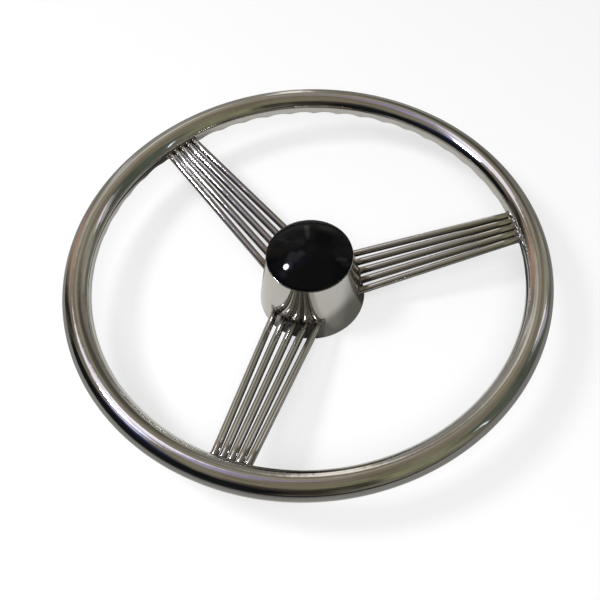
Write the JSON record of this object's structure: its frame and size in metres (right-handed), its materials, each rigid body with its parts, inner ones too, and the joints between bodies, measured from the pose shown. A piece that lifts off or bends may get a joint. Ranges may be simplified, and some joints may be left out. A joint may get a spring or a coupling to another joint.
{
  "type": "ship steering wheel",
  "caption": "Polished stainless marine steering wheel: tubular rim with finger grips, fanned rod spokes, conical hub with tapered shaft socket, and a domed black centre cap.",
  "frame": {"origin": "centre of the hub's back face, on the shaft axis", "axes": "+Z along the shaft axis towards the person steering, -Y along the spoke that points down"},
  "size_m": [0.394, 0.394, 0.0703],
  "materials": {
    "polished_rim": "mirror polished stainless steel",
    "polished_rods": "mirror polished stainless steel rod",
    "polished_hub": "mirror polished stainless steel sheet",
    "weld_steel": "cleaned weld beads",
    "plain_steel": "mill finish stainless steel",
    "machined_steel": "turned stainless steel",
    "fastener_steel": "bright stainless fastener",
    "black_plastic": "glossy black moulding",
    "seal_rubber": "matt black rubber"
  },
  "bodies": {
    "wheel": {"rim_tube": "polished_rim", "hub_cone": "polished_hub", "hub_back_plate": "plain_steel", "hub_web": "plain_steel", "cap_seat_ring": "plain_steel", "hub_boss": "machined_steel", "spoke_1_rod_1": "polished_rods", "spoke_1_rod_2": "polished_rods", "spoke_1_rod_3": "polished_rods", "spoke_1_rod_4": "polished_rods", "spoke_1_rod_5": "polished_rods", "spoke_2_rod_1": "polished_rods", "spoke_2_rod_2": "polished_rods", "spoke_2_rod_3": "polished_rods", "spoke_2_rod_4": "polished_rods", "spoke_2_rod_5": "polished_rods", "spoke_3_rod_1": "polished_rods", "spoke_3_rod_2": "polished_rods", "spoke_3_rod_3": "polished_rods", "spoke_3_rod_4": "polished_rods", "spoke_3_rod_5": "polished_rods", "spoke_1_rim_weld": "weld_steel", "spoke_2_rim_weld": "weld_steel", "spoke_3_rim_weld": "weld_steel", "spoke_1_hub_welds": "weld_steel", "spoke_2_hub_welds": "weld_steel", "spoke_3_hub_welds": "weld_steel"},
    "cap": {"hub_cap": "black_plastic", "cap_o_ring": "seal_rubber"},
    "washer": {"shaft_washer": "fastener_steel"},
    "nut": {"shaft_nut": "fastener_steel"}
  },
  "joints": [
    {"name": "cap_lift", "type": "slide", "parent": "wheel", "child": "cap", "axis": [0, 0, 1], "range_m": [0, 0.06]},
    {"name": "washer_lift", "type": "slide", "parent": "wheel", "child": "washer", "axis": [0, 0, 1], "range_m": [0, 0.0096]},
    {"name": "nut_turn", "type": "hinge", "parent": "washer", "child": "nut", "pos_m": [0, 0, 0.04], "axis": [0, 0, 1], "range_deg": [0, 2430]}
  ],
  "couplings": [
    {"joint": "washer_lift", "follows": "nut_turn", "m_per_rad": 0.00022458}
  ]
}
